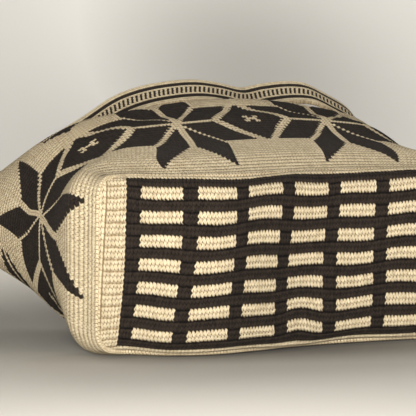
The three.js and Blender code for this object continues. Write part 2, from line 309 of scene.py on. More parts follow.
# Stitch cells: turns stitch coordinates into whole columns and courses with V-shaped edges.
WOBBLE_SCALE = 1.7
WOBBLE_ACROSS = 0.3
WOBBLE_UP = 0.35
TOOTH = 0.8
TOOTH_SHIFT = -0.2
cells, cell_in, cell_out = new_group(
    "stitch cells", {"Stitches": "NodeSocketVector", "Skew": "NodeSocketFloat"},
    ["Column", "Course", "Across", "Up", "Tone"])
wobble = cells.nodes.new("ShaderNodeSeparateColor")
cells.links.new(noise(cells, cell_in["Stitches"], WOBBLE_SCALE, 1.0).outputs["Color"], wobble.inputs[0])
wobble_across = calc(cells, "MULTIPLY", calc(cells, "SUBTRACT", wobble.outputs[0], 0.5), WOBBLE_ACROSS)
wobble_up = calc(cells, "MULTIPLY", calc(cells, "SUBTRACT", wobble.outputs[1], 0.5), WOBBLE_UP)
cell_split = cells.nodes.new("ShaderNodeSeparateXYZ")
cells.links.new(cell_in["Stitches"], cell_split.inputs[0])
half_course = calc(cells, "PINGPONG", cell_split.outputs[1], 0.5)
tooth = calc(cells, "MULTIPLY_ADD", half_course, TOOTH, TOOTH_SHIFT)
cell_u = calc(cells, "ADD", calc(cells, "ADD", cell_split.outputs[0], wobble_across), tooth)
cell_across = calc(cells, "FRACT", cell_u)
from_middle = calc(cells, "ABSOLUTE", calc(cells, "MULTIPLY_ADD", cell_across, 2.0, -1.0))
skew = calc(cells, "MULTIPLY", without(cells, from_middle), cell_in["Skew"])
cell_v = calc(cells, "ADD", calc(cells, "ADD", cell_split.outputs[1], skew), wobble_up)
cell_course = calc(cells, "FLOOR", cell_v)
leg_place = cells.nodes.new("ShaderNodeCombineXYZ")
cells.links.new(calc(cells, "FLOOR", calc(cells, "MULTIPLY", cell_u, 2.0)), leg_place.inputs[0])
cells.links.new(cell_course, leg_place.inputs[1])
leg_tone = cells.nodes.new("ShaderNodeTexWhiteNoise")
leg_tone.noise_dimensions = "2D"
cells.links.new(leg_place.outputs[0], leg_tone.inputs["Vector"])
cells.links.new(calc(cells, "FLOOR", cell_u), cell_out["Column"])
cells.links.new(cell_course, cell_out["Course"])
cells.links.new(cell_across, cell_out["Across"])
cells.links.new(calc(cells, "FRACT", cell_v), cell_out["Up"])
cells.links.new(leg_tone.outputs["Value"], cell_out["Tone"])

# Yarn surface: the two plied legs of a stitch as a height, and masks of painted shade in the gaps between
# them and painted shadow in the holes between stitches.
LEG_ROUNDNESS = 0.4
ROW_ROUNDNESS = 0.6
PLY_TURNS = (6.0, 5.0)
PLY_HEIGHT = 0.16
FIBRE_SCALE = 3.1
FIBRE_HEIGHT = 0.25
GAP_FALLOFF = 1.6
PIT_GAIN = 3.2
yarn, yarn_in, yarn_out = new_group(
    "yarn surface",
    {"Across": "NodeSocketFloat", "Up": "NodeSocketFloat", "Stitches": "NodeSocketVector"},
    ["Height", "Gap Shade", "Pit Shade"])


def wave(tree, value, turns):
    """Arches from 0 to 1, as many as there are half turns."""
    return calc(tree, "ABSOLUTE", calc(tree, "SINE", calc(tree, "MULTIPLY", value, turns * math.pi)))


leg_round = calc(yarn, "POWER", wave(yarn, yarn_in["Across"], 2.0), LEG_ROUNDNESS)
row_round = calc(yarn, "POWER", wave(yarn, yarn_in["Up"], 1.0), ROW_ROUNDNESS)
stitch_body = calc(yarn, "MULTIPLY", leg_round, row_round)
ply_turn = calc(yarn, "MULTIPLY_ADD", yarn_in["Up"], PLY_TURNS[1],
                calc(yarn, "MULTIPLY", yarn_in["Across"], PLY_TURNS[0]))
plied = calc(yarn, "MULTIPLY_ADD", wave(yarn, ply_turn, 1.0), PLY_HEIGHT, stitch_body)
fibres = noise(yarn, yarn_in["Stitches"], FIBRE_SCALE, 4.0).outputs[0]
# Painted shadow: the holes between the stitches, where legs and rows both fall away, are darkened in the
# colour.
pit_shade_mask = calc(yarn, "MULTIPLY", without(yarn, leg_round), without(yarn, row_round))
yarn.links.new(calc(yarn, "MULTIPLY_ADD", fibres, FIBRE_HEIGHT, plied), yarn_out["Height"])
yarn.links.new(calc(yarn, "POWER", without(yarn, stitch_body), GAP_FALLOFF), yarn_out["Gap Shade"])
yarn.links.new(calc(yarn, "MINIMUM", calc(yarn, "MULTIPLY", pit_shade_mask, PIT_GAIN), 1.0), yarn_out["Pit Shade"])

# Crochet finish: soft cotton in two colours, with painted shade in the gaps, painted shadow in the holes, and
# a tone that differs a little leg by leg.
CREAM = (0.70, 0.585, 0.385, 1.0)
# Darker cream and brown for painted shade in the gaps, also reached by the random tone of each leg; near
# black for painted shadow in the holes.
CREAM_SHADE_AND_TONE = (0.30, 0.215, 0.115, 1.0)
CREAM_PIT_SHADOW = (0.055, 0.038, 0.022, 1.0)
BROWN = (0.0330, 0.0240, 0.0170, 1.0)
BROWN_SHADE_AND_TONE = (0.0040, 0.0029, 0.0022, 1.0)
LEG_VARIETY = 0.38
GAP_SHADE = 0.85
BASE_BORDER = (8, 2)
BORDER_OVERLAP = 0.6
# Painted shade in the grooves between the ribs and in a line along the edge groove:
GROOVE_WIDTH = 0.24
GROOVE_DRIFT = 0.5
GROOVE_DRIFT_SCALE = 0.5
EDGE_LINE_SHADE = 0.2


def rib_groove_shade(tree, stitches, dark):
    """Mask of painted shade in the rib grooves of the border and dark field, and in the edge groove."""
    parts = tree.nodes.new("ShaderNodeSeparateXYZ")
    tree.links.new(stitches, parts.inputs[0])
    drift = noise(tree, stitches, GROOVE_DRIFT_SCALE, 2.0).outputs[0]
    level = calc(tree, "SUBTRACT", parts.outputs[1], GROOVE_DRIFT / 2)
    from_groove = calc(tree, "PINGPONG", calc(tree, "MULTIPLY_ADD", drift, GROOVE_DRIFT, level), RIB_ROWS / 2)
    groove = calc(tree, "MAXIMUM", without(tree, calc(tree, "DIVIDE", from_groove, GROOVE_WIDTH)), 0.0)
    other_end = calc(tree, "SUBTRACT", BASE_STITCHES, parts.outputs[0])
    from_end = calc(tree, "MINIMUM", parts.outputs[0], other_end)
    border = both(tree,
                  calc(tree, "GREATER_THAN", from_end, EDGE_COLUMNS),
                  calc(tree, "LESS_THAN", from_end, BASE_BORDER[0] + BORDER_OVERLAP))
    from_line = calc(tree, "ABSOLUTE", calc(tree, "SUBTRACT", from_end, EDGE_COLUMNS))
    groove = calc(tree, "MULTIPLY", groove, calc(tree, "MAXIMUM", border, dark))
    return calc(tree, "MAXIMUM", groove, calc(tree, "LESS_THAN", from_line, EDGE_LINE_SHADE))


def crochet_material(name, skew_amount, relief_mm, chart=None, groove_shaded=False):
    """Crochet in cream; where there is a chart, it gives the brown stitches by column and course."""
    material = bpy.data.materials.new(name)
    material.use_nodes = True
    tree = material.node_tree
    shader = tree.nodes["Principled BSDF"]
    shader.inputs["Roughness"].default_value = 0.86
    shader.inputs["Specular IOR Level"].default_value = 0.06
    shader.inputs["Sheen Weight"].default_value = 0.01
    shader.inputs["Sheen Roughness"].default_value = 0.5
    uv = tree.nodes.new("ShaderNodeUVMap")
    uv.uv_map = "stitches"
    stitches = uv.outputs[0]
    cell = tree.nodes.new("ShaderNodeGroup")
    cell.node_tree = cells
    cell.inputs["Skew"].default_value = skew_amount
    tree.links.new(stitches, cell.inputs["Stitches"])
    surface = tree.nodes.new("ShaderNodeGroup")
    surface.node_tree = yarn
    tree.links.new(stitches, surface.inputs["Stitches"])
    tree.links.new(cell.outputs["Across"], surface.inputs["Across"])
    tree.links.new(cell.outputs["Up"], surface.inputs["Up"])
    dark = chart(tree, cell.outputs["Column"], cell.outputs["Course"]) if chart else 0.0
    # Painted shade: the gaps between legs and rows, and the rib grooves on the base, are darkened in the
    # colour, together with a random tone for each leg.
    gap_shade_mask = surface.outputs["Gap Shade"]
    if groove_shaded:
        gap_shade_mask = calc(tree, "ADD", gap_shade_mask, rib_groove_shade(tree, stitches, dark))
    shade = calc(tree, "MULTIPLY", gap_shade_mask, GAP_SHADE)
    shade = calc(tree, "MULTIPLY_ADD", cell.outputs["Tone"], LEG_VARIETY, shade)
    shade = calc(tree, "MINIMUM", shade, 1.0)
    cloth = mix_colours(tree, shade, CREAM, CREAM_SHADE_AND_TONE)
    cloth = mix_colours(tree, surface.outputs["Pit Shade"], cloth, CREAM_PIT_SHADOW)
    if chart:
        cloth = mix_colours(tree, dark, cloth, mix_colours(tree, shade, BROWN, BROWN_SHADE_AND_TONE))
    tree.links.new(cloth, shader.inputs["Base Color"])
    bump = tree.nodes.new("ShaderNodeBump")
    bump.inputs["Strength"].default_value = 0.9
    bump.inputs["Distance"].default_value = relief_mm * MM
    tree.links.new(surface.outputs["Height"], bump.inputs["Height"])
    tree.links.new(bump.outputs[0], shader.inputs["Normal"])
    return material


BAR_FIRST = 12
BAR_PERIOD = 15
BAR_STITCHES = 11
BAR_ROWS = 2 * RIB_ROWS
BASE_BUMP = 1.0


def base_chart(tree, column, course):
    """Dark field inside the border, less the cream bars."""
    field = both(tree,
                 within(tree, column, BASE_BORDER[0], BASE_STITCHES - BASE_BORDER[0]),
                 within(tree, course, BASE_BORDER[1], BASE_ROWS - BASE_BORDER[1]))
    along_bar = calc(tree, "FLOORED_MODULO", calc(tree, "SUBTRACT", column, BAR_FIRST), BAR_PERIOD)
    bars = both(tree,
                within(tree, along_bar, 0, BAR_STITCHES),
                within(tree, calc(tree, "FLOORED_MODULO", course, BAR_ROWS), 0, RIB_ROWS),
                within(tree, column, BAR_FIRST, BASE_STITCHES - BAR_FIRST),
                within(tree, course, BAR_ROWS, BASE_ROWS - BAR_ROWS))
    return both(tree, field, without(tree, bars))


base.data.materials.append(crochet_material("base crochet", V_SKEW, BASE_BUMP, base_chart, groove_shaded=True))
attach(base, "root")
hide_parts("base_panel")

# Body.
# The real body is one tube of single crochet in cream cotton, worked in rounds off the edge of the
# base, with the brown yarn of the stars and diamonds carried inside the stitches.
FACE_STITCHES = 110
GUSSET_STITCHES = 47
ROUND_STITCHES = 2 * (FACE_STITCHES + GUSSET_STITCHES)
ROUNDS = 64
BAG_DEPTH = 275.0
FULL_THICKNESS = 163.0
CROWN = 33.0
MOUTH_WIDTH = 413.0
MOUTH_GAP = 65.0
MOUTH_LIFT = 55.0
FULL_WIDTH = 1.06 * BASE_LENGTH
PLAN_FADE = 0.5
ADVANCE = 0.97
EDGE_FADE = 0.3
FLAT_REACH = (0.09, 0.52)
WIDTH = [(0, 0.944 * BASE_LENGTH), (0.05, 0.978 * BASE_LENGTH), (0.125, 1.04 * BASE_LENGTH),
         (0.47, FULL_WIDTH), (0.7, 0.65 * FULL_WIDTH + 0.35 * MOUTH_WIDTH), (1, MOUTH_WIDTH)]
THICKNESS = [(0, 0.83 * FULL_THICKNESS), (0.125, 0.904 * FULL_THICKNESS), (0.31, 0.958 * FULL_THICKNESS),
             (0.47, FULL_THICKNESS), (0.7, 0.853 * FULL_THICKNESS), (1, MOUTH_GAP)]
UNDERSIDE = [(0, BASE_LIFT), (0.04, 1), (0.08, 0), (0.3, 0), (0.53, 0), (0.75, 0.45 * MOUTH_LIFT),
             (1, MOUTH_LIFT)]
CORNER = [(0, BASE_CORNER), (0.08, 0.2 * FULL_THICKNESS), (0.23, 0.38 * FULL_THICKNESS),
          (0.47, 0.47 * FULL_THICKNESS), (1, 0.47 * FULL_THICKNESS)]
SWELL = [(0, 0), (0.09, 0.18 * CROWN), (0.23, 0.29 * CROWN), (0.44, 0.52 * CROWN), (0.7, CROWN),
         (1, 0.15 * CROWN)]


def base_edge(stitch):
    """Flat place on the edge of the base that each stitch of the round grows from."""
    s = stitch % ROUND_STITCHES
    half = FACE_STITCHES + GUSSET_STITCHES
    sides = [s < FACE_STITCHES, s < half, s < half + FACE_STITCHES]
    gusset = 2 * (s - FACE_STITCHES) / GUSSET_STITCHES
    back_gusset = 2 * (s - half - FACE_STITCHES) / GUSSET_STITCHES
    across = np.select(sides, [2 * s / FACE_STITCHES - 1, 1.0, 1 - 2 * (s - half) / FACE_STITCHES], -1.0)
    height = np.select(sides, [1.0, 1 - gusset, -1.0], back_gusset - 1)
    x, up = round_corner(across * BASE_LENGTH / 2, height * BASE_HEIGHT / 2, BASE_LENGTH / 2, BASE_HEIGHT / 2)
    return x, BASE_HEIGHT / 2 - up


def outline(turn, width, thickness, radius):
    """Rounded rectangle followed clockwise from the top middle: x, z and how far it faces up."""
    flat_run = width / 2 - radius
    side = thickness - 2 * radius
    arc = np.pi * radius / 2
    girth = 4 * flat_run + 2 * side + 4 * arc
    way = (turn % 1) * girth
    hand = np.where(way <= girth / 2, 1.0, -1.0)
    run = np.where(way <= girth / 2, way, girth - way)
    rise = side / 2
    upper = (run - flat_run) / radius
    lower = (run - flat_run - arc - side) / radius
    parts = [run <= flat_run, run <= flat_run + arc, run <= flat_run + arc + side,
             run <= flat_run + 2 * arc + side]
    x = np.select(parts, [run, flat_run + radius * np.sin(upper), width / 2,
                          flat_run + radius * np.cos(lower)], girth / 2 - run)
    z = np.select(parts, [thickness / 2, rise + radius * np.cos(upper), rise - (run - flat_run - arc),
                          -rise - radius * np.sin(lower)], -thickness / 2)
    faces_up = np.select(parts, [np.ones_like(run), np.cos(upper), np.zeros_like(run), -np.sin(lower)], -1.0)
    return hand * x, z, faces_up


def section(stitch, depth):
    """Cross section of the body at a share of its depth, without the pull of the base's edge."""
    width = curve(WIDTH, depth)
    thickness = curve(THICKNESS, depth)
    radius = np.minimum(curve(CORNER, depth), thickness / 2 - 0.01)
    x, z, faces_up = outline((stitch - FACE_STITCHES / 2) / ROUND_STITCHES, width, thickness, radius)
    share = np.clip(x / (PLAN_X[-1][1] * BASE_LENGTH / 2), -1, 1)
    plan = curve(PLAN_Y, share) * BASE_LENGTH / 2 * (1 - PLAN_FADE * depth)
    y = PROFILE_Y[0][1] * BASE_HEIGHT + plan + depth * BAG_DEPTH * ADVANCE - REST_Y
    swell = curve(SWELL, depth) * np.maximum(faces_up, 0) * np.cos(np.pi * x / width)
    flat_part = (depth > FLAT_REACH[0]) & (depth < FLAT_REACH[1])
    floor = np.where(flat_part, 0.0, np.maximum(curve(UNDERSIDE, depth), 0))
    return np.stack([x, y, z + thickness / 2 + floor + swell], -1)


def body_cloth(stitch, depth):
    """Outside of the body at a stitch of the round and a share of the depth."""
    inside = np.clip(depth, 0, 1)
    pull = 1 - smooth(0, EDGE_FADE, inside)
    edge = base_cloth(*base_edge(stitch)) - section(stitch, np.zeros_like(inside))
    point = section(stitch, inside) + edge * pull[..., None]
    point[..., 1] += (depth - inside) * BAG_DEPTH
    return point


def body_facing(stitch, depth, half_stitch=0.5, half_depth=0.002):
    """Unit normal of the body cloth, pointing out of the bag."""
    back = np.maximum(depth - half_depth, 0)
    around = body_cloth(stitch + half_stitch, depth) - body_cloth(stitch - half_stitch, depth)
    onward = body_cloth(stitch, back + 2 * half_depth) - body_cloth(stitch, back)
    return unit(np.cross(around, onward))


def weld(piece, distance=1e-6):
    """Joins the seam of a sheet that closes on itself."""
    work = bmesh.new()
    work.from_mesh(piece.data)
    bmesh.ops.remove_doubles(work, verts=work.verts, dist=distance)
    work.to_mesh(piece.data)
    work.free()


# The sheet runs up the outside, over the rim of the mouth, down the inside and back to its start.
OUTER_ROWS = 2 * ROUNDS
RIM_ROWS = 2
INNER_ROWS = 16
LOOP_ROWS = OUTER_ROWS + RIM_ROWS + INNER_ROWS
JOIN_COVER = 2.4
BODY_START = JOIN_COVER / BAG_DEPTH
ROUND_RELIEF = 0.9
COLUMN_RELIEF = 0.5
RIM_ROLL = WALL / 3
HALF_LEG = 0.25
body = cloth_sheet("body_cloth", 2 * ROUND_STITCHES, LOOP_ROWS + 1, ROUND_STITCHES, LOOP_ROWS + 1)
flat = places(body)
column = flat[:, 0]
step = np.round(flat[:, 1])
out_share = np.clip(step / OUTER_ROWS, 0, 1)
in_share = 1 - np.clip((step - OUTER_ROWS - RIM_ROWS) / INNER_ROWS, 0, 1)
share = np.where(step <= OUTER_ROWS + RIM_ROWS, out_share, in_share)
share = np.where(step > LOOP_ROWS, 0.0, share)
depth = BODY_START + (1 - BODY_START) * share
inset = np.clip((step - OUTER_ROWS) / RIM_ROWS, 0, 1) * WALL
inset = np.where(step > LOOP_ROWS, 0.0, inset)
course = depth * ROUNDS
row = stitch_relief(column + HALF_LEG, course)[1]
outside = (step <= OUTER_ROWS) | (step > LOOP_ROWS)
cell_middle = np.sin(np.pi * (column % 1))
relief = np.where(outside, ROUND_RELIEF * (row - 1) + COLUMN_RELIEF * (cell_middle - 1), 0.0)
points = body_cloth(column, depth) - body_facing(column, depth) * (inset - relief)[:, None]
points[:, 1] += np.where(step == OUTER_ROWS + 1, RIM_ROLL, 0.0)
points[:, 2] = np.maximum(points[:, 2], 0.0)

# The columns of the chart crowd on one side, lean as the rounds climb and sway with the hand.
CHART_STITCHES = 312
STAR_ROUND = 26.5
FACE_LEAN = -0.06
GUSSET_LEAN = 0.2
GUSSET_STAR = 290 - ROUND_STITCHES / 2
GUSSET_REACH = 28
GUSSET_SHIFT = 1.9
CROWD = 3.6
CROWD_MIDDLE = 30.7
CHART_SWAY = 0.35
SWAY_ROUNDS = 5.1
SWAYS_AROUND = 18
turn = 2 * np.pi * column / ROUND_STITCHES
crowd = CROWD * np.sin(turn - 2 * np.pi * CROWD_MIDDLE / ROUND_STITCHES)
from_star = (column - GUSSET_STAR) % ROUND_STITCHES - ROUND_STITCHES / 2
at_gusset = np.exp(-(from_star / GUSSET_REACH) ** 2)
lean = FACE_LEAN + (GUSSET_LEAN - FACE_LEAN) * at_gusset
chart_column = column * CHART_STITCHES / ROUND_STITCHES + crowd
chart_column -= lean * (course - STAR_ROUND) + GUSSET_SHIFT * at_gusset
chart_column += CHART_SWAY * np.sin(course / SWAY_ROUNDS + SWAYS_AROUND * turn)
set_stitches(body, chart_column, course)
set_places(body, points)
weld(body)

STAR_PERIOD = 52
STAR_AXIS = 31
PETAL_LENGTH = 12.5
PETAL_WIDTH = 10.7
UPRIGHT_SPINE = 0.9
LEVEL_SPINE = 0.5
UPRIGHT_SPLIT = 0.75
LEVEL_SPLIT = (0.25, 0.5)
DIAMOND_REACH = 11.2
CROSS_LINE = 0.6
CROSS_HEIGHT = 1.5
LOZENGE_ROUND = 20.0
LOZENGE_REACH = 9.5
LOZENGE_STEP = 2.0
LOZENGE_SPLIT = 0.5
BODY_SKEW = 0.28
BODY_BUMP = 0.8


def star_chart(tree, column, course):
    """Eight-point stars side by side, with a diamond between each two and a split lozenge above it."""
    x = calc(tree, "WRAP", calc(tree, "SUBTRACT", column, STAR_AXIS - 0.5), STAR_PERIOD / 2, -STAR_PERIOD / 2)
    y = calc(tree, "SUBTRACT", course, STAR_ROUND - 0.5)
    ax = calc(tree, "ABSOLUTE", x)
    ay = calc(tree, "ABSOLUTE", y)
    steep = calc(tree, "SUBTRACT", ay, ax)
    slant = calc(tree, "GREATER_THAN", calc(tree, "MULTIPLY", x, y), 0.0)
    split = calc(tree, "MULTIPLY_ADD", slant, -LEVEL_SPLIT[1], -LEVEL_SPLIT[0])
    upright = both(tree,
                   calc(tree, "GREATER_THAN", ax, UPRIGHT_SPINE),
                   calc(tree, "LESS_THAN", ax, PETAL_WIDTH),
                   calc(tree, "GREATER_THAN", steep, UPRIGHT_SPLIT),
                   calc(tree, "LESS_THAN", steep, PETAL_LENGTH))
    level = both(tree,
                 calc(tree, "GREATER_THAN", ay, LEVEL_SPINE),
                 calc(tree, "LESS_THAN", ay, PETAL_WIDTH),
                 calc(tree, "LESS_THAN", steep, split),
                 calc(tree, "GREATER_THAN", steep, -PETAL_LENGTH))
    between = calc(tree, "SUBTRACT", STAR_PERIOD / 2, ax)
    cross_line = calc(tree, "ABSOLUTE", calc(tree, "SUBTRACT", between, calc(tree, "ADD", ay, 1.0)))
    cross = both(tree,
                 calc(tree, "LESS_THAN", cross_line, CROSS_LINE),
                 calc(tree, "LESS_THAN", ay, CROSS_HEIGHT))
    diamond = both(tree,
                   calc(tree, "LESS_THAN", calc(tree, "ADD", between, ay), DIAMOND_REACH),
                   without(tree, cross))
    lift = calc(tree, "ABSOLUTE", calc(tree, "SUBTRACT", y, LOZENGE_ROUND))
    lozenge_way = calc(tree, "MULTIPLY_ADD", lift, LOZENGE_STEP, between)
    lozenge = both(tree,
                   calc(tree, "LESS_THAN", lozenge_way, LOZENGE_REACH),
                   calc(tree, "GREATER_THAN", lift, LOZENGE_SPLIT))
    dark = calc(tree, "ADD", calc(tree, "ADD", upright, level), calc(tree, "ADD", diamond, lozenge))
    return calc(tree, "MINIMUM", dark, 1.0)


body.data.materials.append(crochet_material("body crochet", BODY_SKEW, BODY_BUMP, star_chart))
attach(body, "root")
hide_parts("body")

# Joining round.
# The real base and body meet in one round of cream stitches that stands up as a thin ridge, each
# loop lying slantwise over the edge of the base.
JOIN_RADIUS = 1.9
JOIN_SIDES = 8
JOIN_STEPS = 4
JOIN_SEAT = 0.9
JOIN_COURSES = 2
LOOP_SLANT = 0.3
LOOP_WAIST = 0.86
LOOP_SWELL = 0.26
TANGENT_STITCH = 0.4
YARN_SKEW = 0.5
YARN_BUMP = 0.5


def join_line(stitch):
    """Edge of the base, which the ridge follows."""
    return base_cloth(*base_edge(stitch))


join_ridge = cloth_sheet("joining_round_yarn", ROUND_STITCHES * JOIN_STEPS, JOIN_SIDES,
                         ROUND_STITCHES, JOIN_SIDES)
flat = places(join_ridge)
column, side = flat[:, 0], flat[:, 1]
tangent = unit(join_line(column + TANGENT_STITCH) - join_line(column - TANGENT_STITCH))
inward = unit(base_inward(*base_edge(column)) - body_facing(column, np.zeros_like(column)))
sideways = np.cross(tangent, inward)
angle = -2 * np.pi * side / JOIN_SIDES
loop = np.abs(np.sin(np.pi * (column + LOOP_SLANT * np.sin(angle))))
radius = JOIN_RADIUS * (LOOP_WAIST + LOOP_SWELL * loop)
points = join_line(column) + inward * (radius * np.cos(angle) + JOIN_SEAT)[:, None]
points += sideways * (radius * np.sin(angle))[:, None]
set_stitches(join_ridge, column, side / JOIN_SIDES * JOIN_COURSES)
set_places(join_ridge, points)
weld(join_ridge)
plain_yarn = crochet_material("cream yarn", YARN_SKEW, YARN_BUMP)
join_ridge.data.materials.append(plain_yarn)
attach(join_ridge, "root")
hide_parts("joining_round")

# Strap.
# The real strap is one crocheted band with its rows running along it: cream edges, a dark stripe on
# each side and a ladder of short dark bars down the middle. Its ends are sewn inside the gussets.
STRAP_WIDTH = 38.0
STRAP_THICKNESS = 4.5
STRAP_TAB = 30.0
STRAP_RISE = 103.0
STRAP_TILT = 25.0
TAB_CLEARANCE = 0.75
TWIST_LENGTH = 110.0
HANDOVER = 45.0
ROUTE = [(-0.955, 12, 0.06), (-0.9, 20, 0.16), (-0.77, 24, 0.33), (-0.6, 22, 0.53), (-0.44, 17, 0.725),
         (-0.3, 12, 0.91), (-0.2, 10, 0.985), (-0.08, 9, 1.03), (0.04, 8, 1.045), (0.14, 8, 1.02),
         (0.25, 8, 0.975), (0.34, 8, 1.005), (0.45, 8, 1.025), (0.53, 8, 1.01), (0.62, 10, 0.93),
         (0.72, 13, 0.82), (0.8, 17, 0.66), (0.88, 22, 0.36), (0.955, 14, 0.08)]
SPAN_SAMPLES = 60
TANGENT_REACH = 2
LEFT_GUSSET = ROUND_STITCHES - GUSSET_STITCHES / 2
RIGHT_GUSSET = FACE_STITCHES + GUSSET_STITCHES / 2
mouth_middle = MOUTH_LIFT + MOUTH_GAP / 2
tab_inset = WALL + TAB_CLEARANCE + STRAP_THICKNESS / 2


def gusset_inside(stitch, depth, inset):
    """Place inside the body wall, which may stand above the mouth."""
    return body_cloth(stitch, depth) - body_facing(stitch, np.minimum(depth, 1.0)) * inset[..., None]


feet = gusset_inside(np.array([LEFT_GUSSET, RIGHT_GUSSET]), np.ones(2), np.full(2, tab_inset))
route = [feet[0]]
for share_x, before, share_z in ROUTE:
    mouth_y = feet[0][1] + (feet[1][1] - feet[0][1]) * (share_x + 1) / 2
    route.append(np.array([share_x * MOUTH_WIDTH / 2, mouth_y + before, mouth_middle + share_z * STRAP_RISE]))
route.append(feet[1])


def centripetal(points, samples):
    """Centripetal Catmull-Rom line through points, as many samples in each span."""
    line = []
    ends = np.vstack([2 * points[0] - points[1], points, 2 * points[-1] - points[-2]])
    for k in range(len(points) - 1):
        p = ends[k:k + 4]
        gaps = [max(np.linalg.norm(p[m + 1] - p[m]), 1e-6) ** 0.5 for m in range(3)]
        t1 = (p[1] - p[0]) / gaps[0] - (p[2] - p[0]) / (gaps[0] + gaps[1]) + (p[2] - p[1]) / gaps[1]
        t2 = (p[2] - p[1]) / gaps[1] - (p[3] - p[1]) / (gaps[1] + gaps[2]) + (p[3] - p[2]) / gaps[2]
        for u in np.linspace(0, 1, samples, endpoint=False):
            low = p[1] * (1 + 2 * u) + t1 * gaps[1] * u
            high = p[2] * (3 - 2 * u) + t2 * gaps[1] * (u - 1)
            line.append(low * (1 - u) ** 2 + high * u ** 2)
    line.append(points[-1])
    return np.array(line)


def running_length(points):
    """Length along a line of points, up to each of them."""
    return np.concatenate([[0], np.cumsum(np.linalg.norm(np.diff(points, axis=0), axis=1))])


strap_line = centripetal(np.array(route), SPAN_SAMPLES)
strap_runs = running_length(strap_line)
free_length = strap_runs[-1]
strap_length = free_length + 2 * STRAP_TAB


def on_line(run):
    """Place on the middle line of the free strap."""
    run = np.clip(run, 0, free_length)
    return np.stack([np.interp(run, strap_runs, strap_line[:, k]) for k in range(3)], -1)


def strap_place(run, across, lift):
    """Place of the band; run counts from the left mouth edge along the band."""
    middle = np.clip(run, TANGENT_REACH, free_length - TANGENT_REACH)
    tangent = unit(on_line(middle + TANGENT_REACH) - on_line(middle - TANGENT_REACH))
    nearest = np.minimum(run, free_length - run)
    tilt = np.radians(-90 + (STRAP_TILT + 90) * smooth(0, TWIST_LENGTH, nearest))
    wide = np.stack([np.zeros_like(tilt), np.cos(tilt), np.sin(tilt)], -1)
    wide = unit(wide - tangent * (wide * tangent).sum(-1, keepdims=True))
    outward = np.cross(tangent, wide)
    free = on_line(run) + wide * across[:, None] + outward * lift[:, None]
    stitch_length = BASE_LENGTH / FACE_STITCHES
    left = run < free_length / 2
    stitch = np.where(left, LEFT_GUSSET - across / stitch_length, RIGHT_GUSSET + across / stitch_length)
    tab = gusset_inside(stitch, 1 + nearest / BAG_DEPTH, tab_inset - lift)
    share = smooth(0, HANDOVER, nearest)[:, None]
    return tab * (1 - share) + free * share


def close_ends(piece):
    """Fills the two open ends of a tube and turns its faces outwards."""
    work = bmesh.new()
    work.from_mesh(piece.data)
    bmesh.ops.holes_fill(work, edges=[edge for edge in work.edges if edge.is_boundary], sides=0)
    bmesh.ops.recalc_face_normals(work, faces=work.faces)
    work.to_mesh(piece.data)
    work.free()


# The band is a flat tube: its ring runs across the upper face, round an edge and back underneath.
STRAP_ROWS = 14
STRAP_STITCH = 2.0
STRAP_LEAN = 0.35
STRAP_STITCHES = int(strap_length / STRAP_STITCH)
FACE_STEPS = 3 * STRAP_ROWS
EDGE_STEPS = 2
RING_STEPS = 2 * (FACE_STEPS + EDGE_STEPS)
STRAP_ROW_RELIEF = 0.45
STRAP_LEG_RELIEF = 0.3
EDGE_BULGE = 0.9
EDGE_SCALLOP = 0.35
SCALLOP_SHARE = 0.49
strap = cloth_sheet("strap_band", STRAP_STITCHES * 2, RING_STEPS, STRAP_STITCHES, RING_STEPS)
flat = places(strap)
column = flat[:, 0]
ring = np.round(flat[:, 1]) % RING_STEPS
top = ring <= FACE_STEPS
under = (ring >= FACE_STEPS + EDGE_STEPS) & (ring <= 2 * FACE_STEPS + EDGE_STEPS)
at_edge = ~top & ~under
face_share = np.where(top, ring / FACE_STEPS, 1 - (ring - FACE_STEPS - EDGE_STEPS) / FACE_STEPS)
edge_share = np.where(ring < FACE_STEPS + EDGE_STEPS, 1.0, 0.0)
across_share = np.where(at_edge, edge_share, face_share)
course = across_share * STRAP_ROWS
bulge = STRAP_ROW_RELIEF * (np.abs(np.sin(np.pi * course)) - 1)
bulge += STRAP_LEG_RELIEF * (np.sin(np.pi * (column % 1)) - 1)
half = STRAP_THICKNESS / 2
lift = np.where(top, half + bulge, np.where(under, -half - bulge, 0.0))
edge_out = np.where(at_edge, EDGE_BULGE, 0.0) * np.where(across_share > 0.5, 1, -1)
scallop = EDGE_SCALLOP * np.cos(2 * np.pi * column) * (np.abs(across_share - 0.5) > SCALLOP_SHARE)
across = (across_share - 0.5) * STRAP_WIDTH + edge_out + scallop
run = column / STRAP_STITCHES * strap_length - STRAP_TAB
set_stitches(strap, column - STRAP_LEAN * (course - STRAP_ROWS / 2), course)
set_places(strap, strap_place(run, across, lift))
weld(strap)
close_ends(strap)

STRIPE_ROWS = (2, 4)
LADDER_ROW = 5
STRAP_SKEW = 0.1
STRAP_BUMP = 0.8


def ladder_chart(tree, column, course):
    """Dark stripes and the ladder of alternate dark stitches, the same from both edges."""
    from_edge = calc(tree, "MINIMUM", course, calc(tree, "SUBTRACT", STRAP_ROWS - 1.0, course))
    stripe = within(tree, from_edge, *STRIPE_ROWS)
    rung = both(tree,
                within(tree, from_edge, LADDER_ROW, STRAP_ROWS),
                within(tree, calc(tree, "FLOORED_MODULO", column, 2.0), 0, 1))
    return calc(tree, "MAXIMUM", stripe, rung)


strap.data.materials.append(crochet_material("strap crochet", STRAP_SKEW, STRAP_BUMP, ladder_chart))
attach(strap, "root")
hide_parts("strap")

# Sewing yarn.
# The real strap is held by hand stitches of the same cream yarn, worked down both edges of each
# sewn end and across its bottom, each stitch a short loop that dips into the cloth.
YARN_RADIUS = 1.1
YARN_DIP = 0.6
YARN_WAIST = 0.75
SEAM_INSET = 5.0
SEAM_START = 2.0
SEAM_STITCHES = 13
SEAM_SIDES = 8
SEAM_STEPS = 6
SEAM_TANGENT = 0.06
SEAM_UP = (0.0, 0.3, 1.0)


